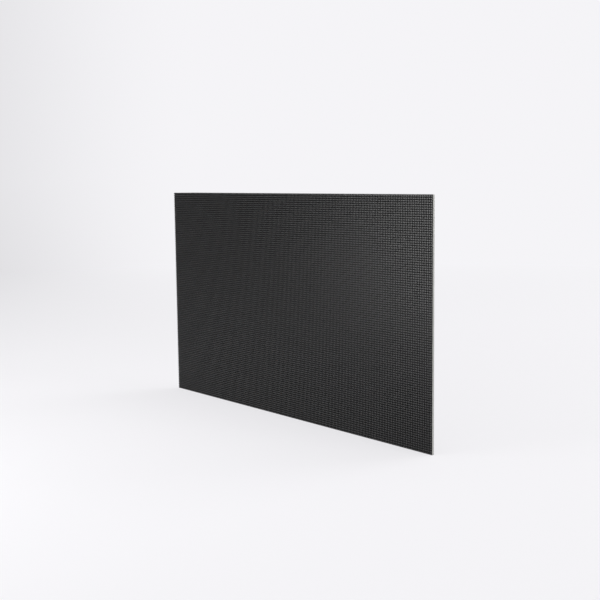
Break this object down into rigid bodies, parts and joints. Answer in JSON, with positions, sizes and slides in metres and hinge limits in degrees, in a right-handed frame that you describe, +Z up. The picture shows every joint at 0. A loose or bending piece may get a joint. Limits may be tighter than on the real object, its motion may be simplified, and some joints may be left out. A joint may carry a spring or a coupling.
{
  "type": "rgb led matrix panel",
  "caption": "Thin rectangular display module: a dark board with a fine grid of light-emitting packages in front and a bevelled moulded frame with windows behind.",
  "frame": {"origin": "on the surface that the panel stands on, under the middle of its whole depth and width", "axes": "+X along the panel to the right as seen from the front, +Y from the front to the back, +Z up"},
  "size_m": [0.3, 0.0184, 0.1688],
  "materials": {
    "board_laminate": "dark solder mask on both faces, pale glass-epoxy at the cut edge",
    "led_package": "dark matt resin over black packages",
    "frame_plastic": "fine spark-textured black moulding",
    "spacer_brass": "tinned brass",
    "screw_steel": "black zinc",
    "magnet_nickel": "nickel plating",
    "insert_brass": "turned brass",
    "pin_steel": "nickel-plated turned steel",
    "header_black": "satin glass-filled moulding",
    "contact_gold": "gold flash",
    "contact_tin": "tin plating",
    "header_white": "natural nylon",
    "chip_black": "matt moulding compound",
    "diode_black": "matt moulding compound",
    "capacitor_ceramic": "tan ceramic with tinned ends",
    "resistor_film": "dark glaze with tinned ends",
    "capacitor_base": "black moulding",
    "can_aluminium": "drawn aluminium"
  },
  "bodies": {
    "root": {"circuit_board": "board_laminate", "led_rows": "led_package", "rear_frame": "frame_plastic", "board_spacers": "spacer_brass", "frame_screws": "screw_steel", "magnets": "magnet_nickel", "magnet_screws": "screw_steel", "mounting_inserts": "insert_brass", "guide_pins": "pin_steel", "signal_in_header": "header_black", "signal_in_contacts": "contact_gold", "signal_out_header": "header_black", "signal_out_contacts": "contact_gold", "power_header": "header_white", "power_contacts": "contact_tin", "driver_chips": "chip_black", "row_switch_chips": "chip_black", "buffer_chips": "chip_black", "memory_chip": "chip_black", "surge_diodes": "diode_black", "decoupling_capacitors": "capacitor_ceramic", "current_resistors": "resistor_film", "resistor_arrays": "resistor_film", "bulk_capacitor_bases": "capacitor_base", "bulk_capacitor_cans": "can_aluminium"}
  },
  "joints": []
}
